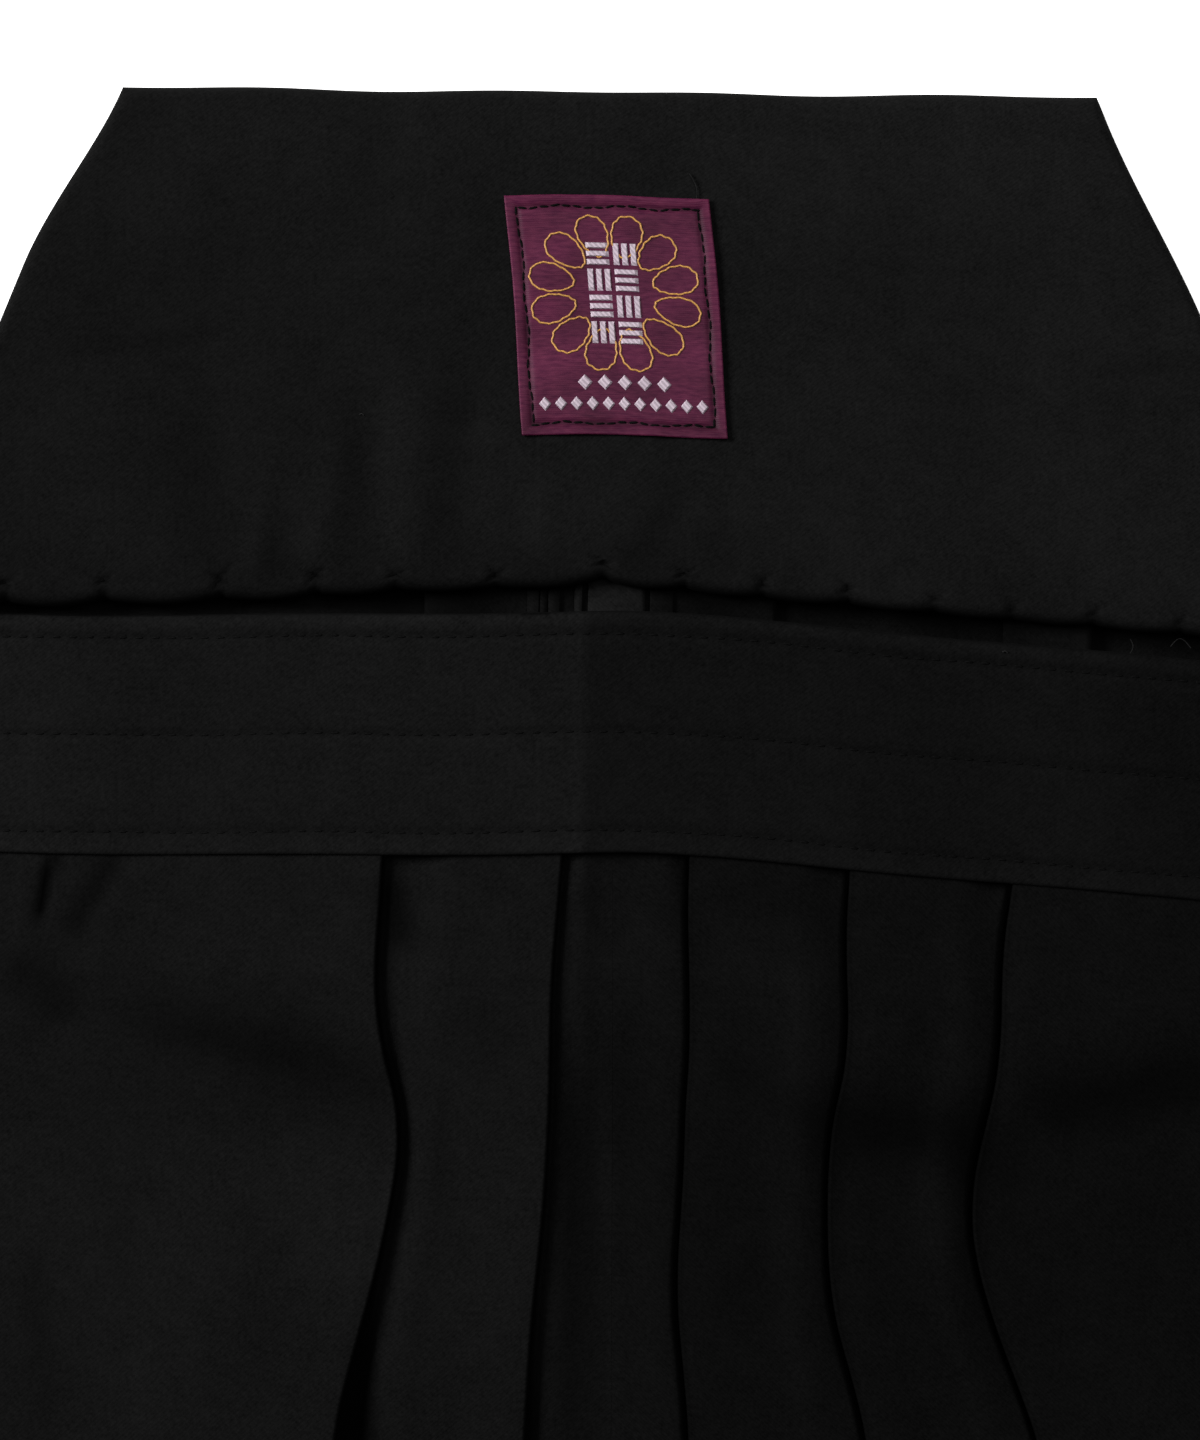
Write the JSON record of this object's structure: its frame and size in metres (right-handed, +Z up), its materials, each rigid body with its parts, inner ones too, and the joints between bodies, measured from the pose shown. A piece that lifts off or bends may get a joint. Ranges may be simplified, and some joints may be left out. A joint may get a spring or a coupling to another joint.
{
  "type": "hakama trousers",
  "caption": "Black pleated divided hakama trousers laid flat front up, with stiff trapezoid back board, stitched waistband and folded ties.",
  "frame": {"origin": "on the surface the garment lies on, under the middle of the front band's lower edge", "axes": "+X to the wearer's left, +Y from the hem towards the back board, +Z up from the surface"},
  "size_m": [0.9164, 1.0622, 0.0109],
  "materials": {
    "leg_cloth": "matt black twill, pleats pressed in",
    "band_cloth": "matt black twill, folded and stitched flat",
    "board_cloth": "matt black twill over a padded stiff board",
    "label_satin": "dark plum satin weave"
  },
  "bodies": {
    "root": {"front_right_leg": "leg_cloth", "front_left_leg": "leg_cloth", "back_right_leg": "leg_cloth", "back_left_leg": "leg_cloth", "front_band": "band_cloth", "front_tie_right": "band_cloth", "front_tie_left": "band_cloth", "back_board": "board_cloth", "back_tie_right": "band_cloth", "back_tie_left": "band_cloth", "label": "label_satin"}
  },
  "joints": []
}
